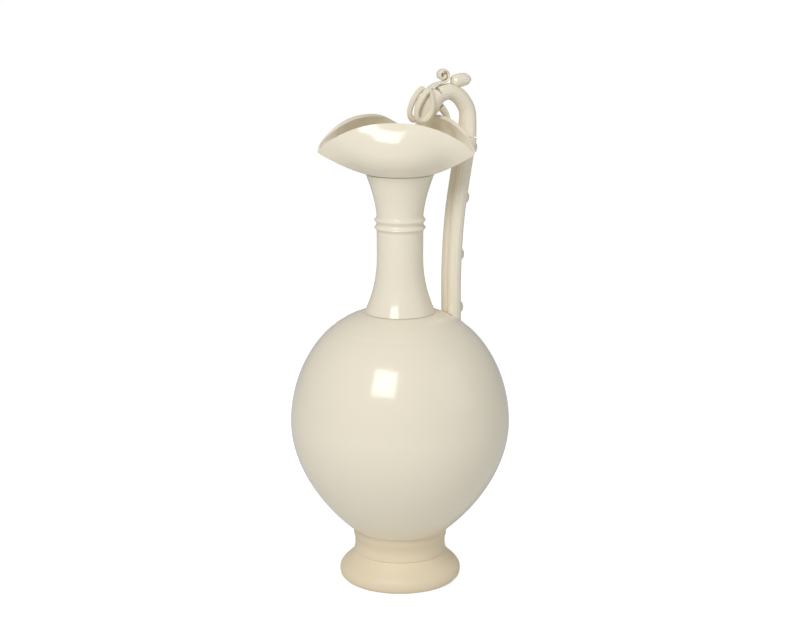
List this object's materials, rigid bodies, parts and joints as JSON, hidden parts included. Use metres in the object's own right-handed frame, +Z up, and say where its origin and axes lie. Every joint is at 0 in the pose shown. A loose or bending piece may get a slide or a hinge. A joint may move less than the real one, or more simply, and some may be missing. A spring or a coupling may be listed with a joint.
{
  "type": "dragon-handled ewer",
  "caption": "Ceramic ewer with ovoid body on a splayed foot, ribbed neck, folded three-lobed mouth and a twin-strand dragon handle.",
  "frame": {"origin": "centre of the foot's resting plane, on the body's axis", "axes": "+Z up the axis, +X to the handle, -X to the pouring corner"},
  "size_m": [0.15, 0.15, 0.3517],
  "materials": {
    "glaze": "thin glossy straw-cream glaze, greenish where it pools",
    "bare_clay": "matt cream slip with brown burial soil"
  },
  "bodies": {
    "root": {"foot": "bare_clay", "body": "glaze", "neck": "glaze", "mouth": "glaze", "handle_strand_left": "glaze", "handle_strand_right": "glaze", "handle_boss_1": "glaze", "handle_boss_2": "glaze", "handle_boss_3": "glaze", "handle_boss_4": "glaze", "dragon_neck": "glaze", "dragon_head": "glaze", "dragon_lip_left": "glaze", "dragon_lip_right": "glaze", "dragon_horn": "glaze", "dragon_mane_knob": "glaze", "dragon_lower_jaw": "glaze"}
  },
  "joints": []
}
